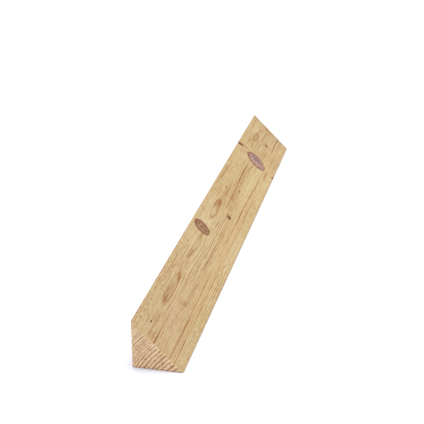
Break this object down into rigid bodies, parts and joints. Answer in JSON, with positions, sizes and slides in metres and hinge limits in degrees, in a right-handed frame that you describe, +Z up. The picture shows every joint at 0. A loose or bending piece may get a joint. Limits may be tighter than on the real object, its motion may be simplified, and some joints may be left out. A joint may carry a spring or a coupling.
{
  "type": "triangular timber batten",
  "caption": "Short length of planed knotty softwood with a right-angled triangular section and square-sawn ends, used as a corner fillet, wedge rail or backing strip.",
  "frame": {"origin": "on the floor, under the middle of the batten's bounding box, half way along its length", "axes": "+Y along the length, +X from the square heel edge to the toe along the leg that lies flat, +Z up the upright leg"},
  "size_m": [0.0472, 0.6, 0.0472],
  "materials": {
    "planed_pine": "planed bare softwood, matt, with knots"
  },
  "bodies": {
    "root": {"triangular_batten": "planed_pine"}
  },
  "joints": []
}
